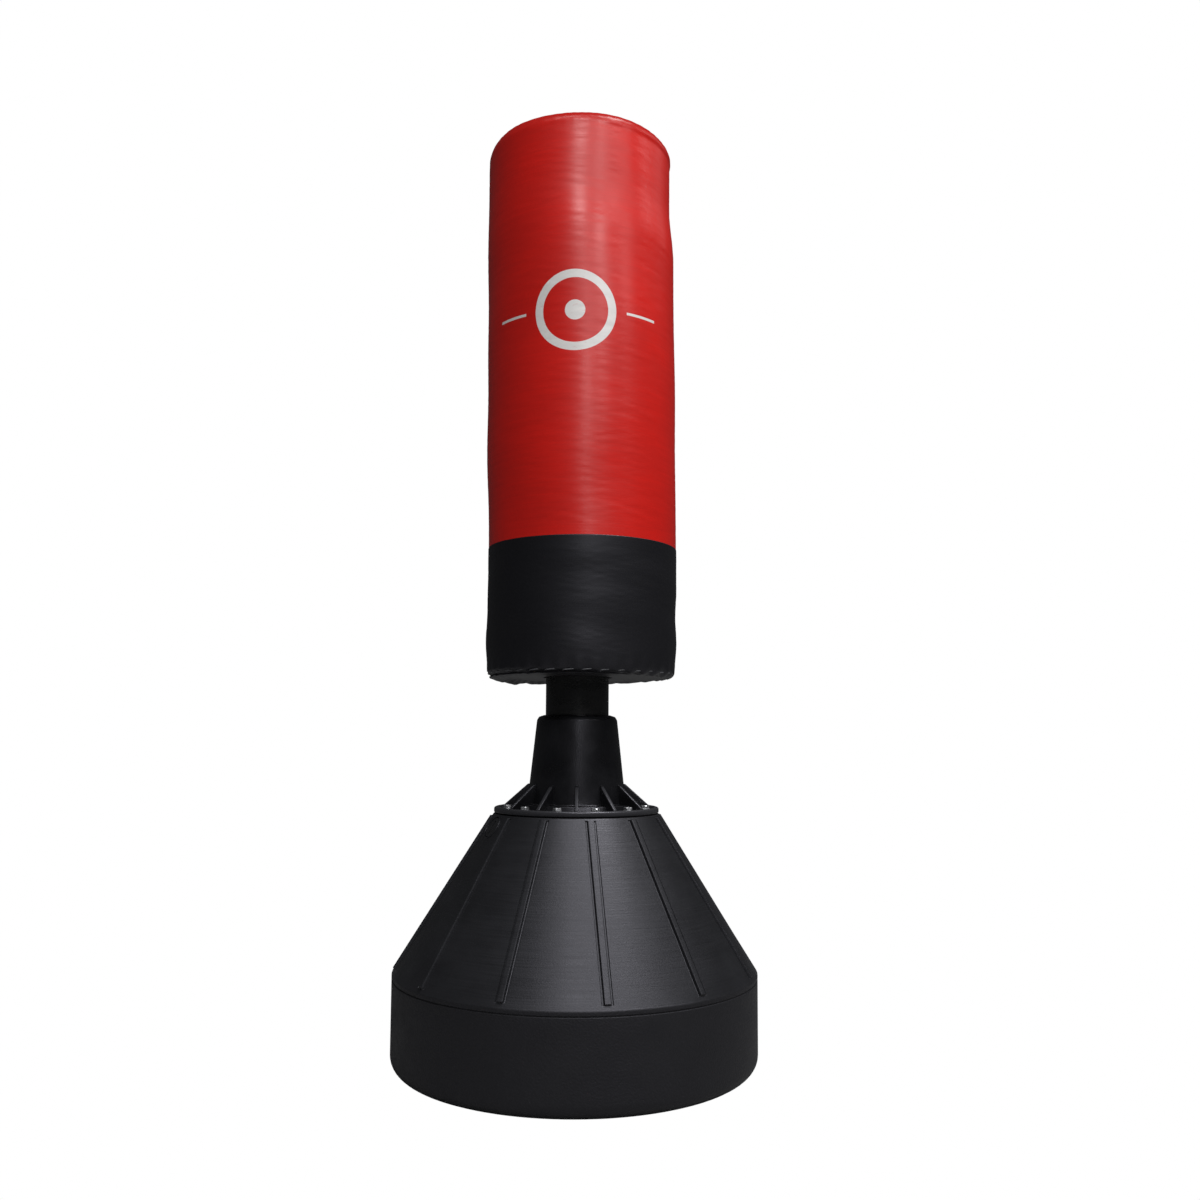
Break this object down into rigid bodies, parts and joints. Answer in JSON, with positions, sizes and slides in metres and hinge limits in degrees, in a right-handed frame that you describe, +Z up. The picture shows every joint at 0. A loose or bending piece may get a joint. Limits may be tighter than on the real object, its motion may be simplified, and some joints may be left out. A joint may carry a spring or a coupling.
{
  "type": "punching bag on stand",
  "caption": "Free-standing punching bag: a padded cylinder on a sprung post, carried by a ribbed cone-shaped tank that is filled with water or sand.",
  "frame": {"origin": "middle of the tank's floor face, on the floor, under the axis of the bag", "axes": "+Z up along the post, -Y the front that faces the boxer, +X to the right of the front"},
  "size_m": [0.62, 0.6198, 1.609],
  "materials": {
    "tank": "satin",
    "collar": "satin",
    "moulded": "satin",
    "brass": "satin",
    "rubber": "gloss",
    "zinc": "satin",
    "plate_steel": "satin",
    "cast": "matte",
    "spring_steel": "satin",
    "post_paint": "satin",
    "nylon": "satin",
    "core": "satin",
    "board": "matte",
    "wadding": "matte",
    "foam": "matte",
    "red_leather": "satin",
    "black_leather": "satin",
    "thread": "matte"
  },
  "bodies": {
    "base": {"base_tank": "tank", "tank_inserts": "brass", "filler_bush": "moulded", "mouth_gasket": "rubber", "neck_collar": "collar", "collar_bolts": "zinc", "bolt_washers": "zinc", "mount_plate": "plate_steel", "mount_plate_bolts": "zinc", "lower_spring_plug": "cast", "lower_plug_bolts": "zinc"},
    "seal_ring": {"cap_seal": "rubber"},
    "cap": {"filler_cap": "moulded"},
    "spring": {"coil_spring": "spring_steel", "spring_sleeve": "rubber"},
    "post": {"upper_spring_plug": "cast", "sleeve_band": "zinc", "post_tube": "post_paint", "upper_plug_bolts": "zinc", "post_top_plug": "moulded", "thrust_washer": "nylon"},
    "bag": {"core_tube": "core", "lower_bush": "nylon", "upper_bush": "nylon", "core_end_cap": "moulded", "bottom_board": "board", "wadding_core": "wadding", "foam_wrap": "foam", "top_pad": "foam", "cover_upper": "red_leather", "cover_lower": "black_leather", "cover_top": "red_leather", "cover_bottom": "black_leather", "bottom_lacing": "thread"}
  },
  "joints": [
    {"name": "sway_side", "type": "hinge", "parent": "base", "child": "spring", "pos_m": [0, 0, 0.62], "axis": [0, 1, 0], "range_deg": [-20, 20], "stiffness_Nm_per_rad": 500, "deforming": ["coil_spring", "spring_sleeve"]},
    {"name": "sway_fore", "type": "hinge", "parent": "spring", "child": "post", "pos_m": [0, 0, 0.62], "axis": [1, 0, 0], "range_deg": [-20, 20], "stiffness_Nm_per_rad": 500},
    {"name": "bag_turn", "type": "hinge", "parent": "post", "child": "bag", "pos_m": [0, 0, 1.1], "axis": [0, 0, 1], "continuous": true},
    {"name": "cap_lift", "type": "slide", "parent": "base", "child": "seal_ring", "axis": [-0.7659, -0.3572, 0.5346], "range_m": [0, 0.009]},
    {"name": "cap_turn", "type": "hinge", "parent": "seal_ring", "child": "cap", "pos_m": [-0.14107, -0.06578, 0.401], "axis": [-0.7659, -0.3572, 0.5346], "range_deg": [0, 1080]}
  ],
  "couplings": [
    {"joint": "cap_lift", "follows": "cap_turn", "m_per_rad": 0.00047746}
  ]
}
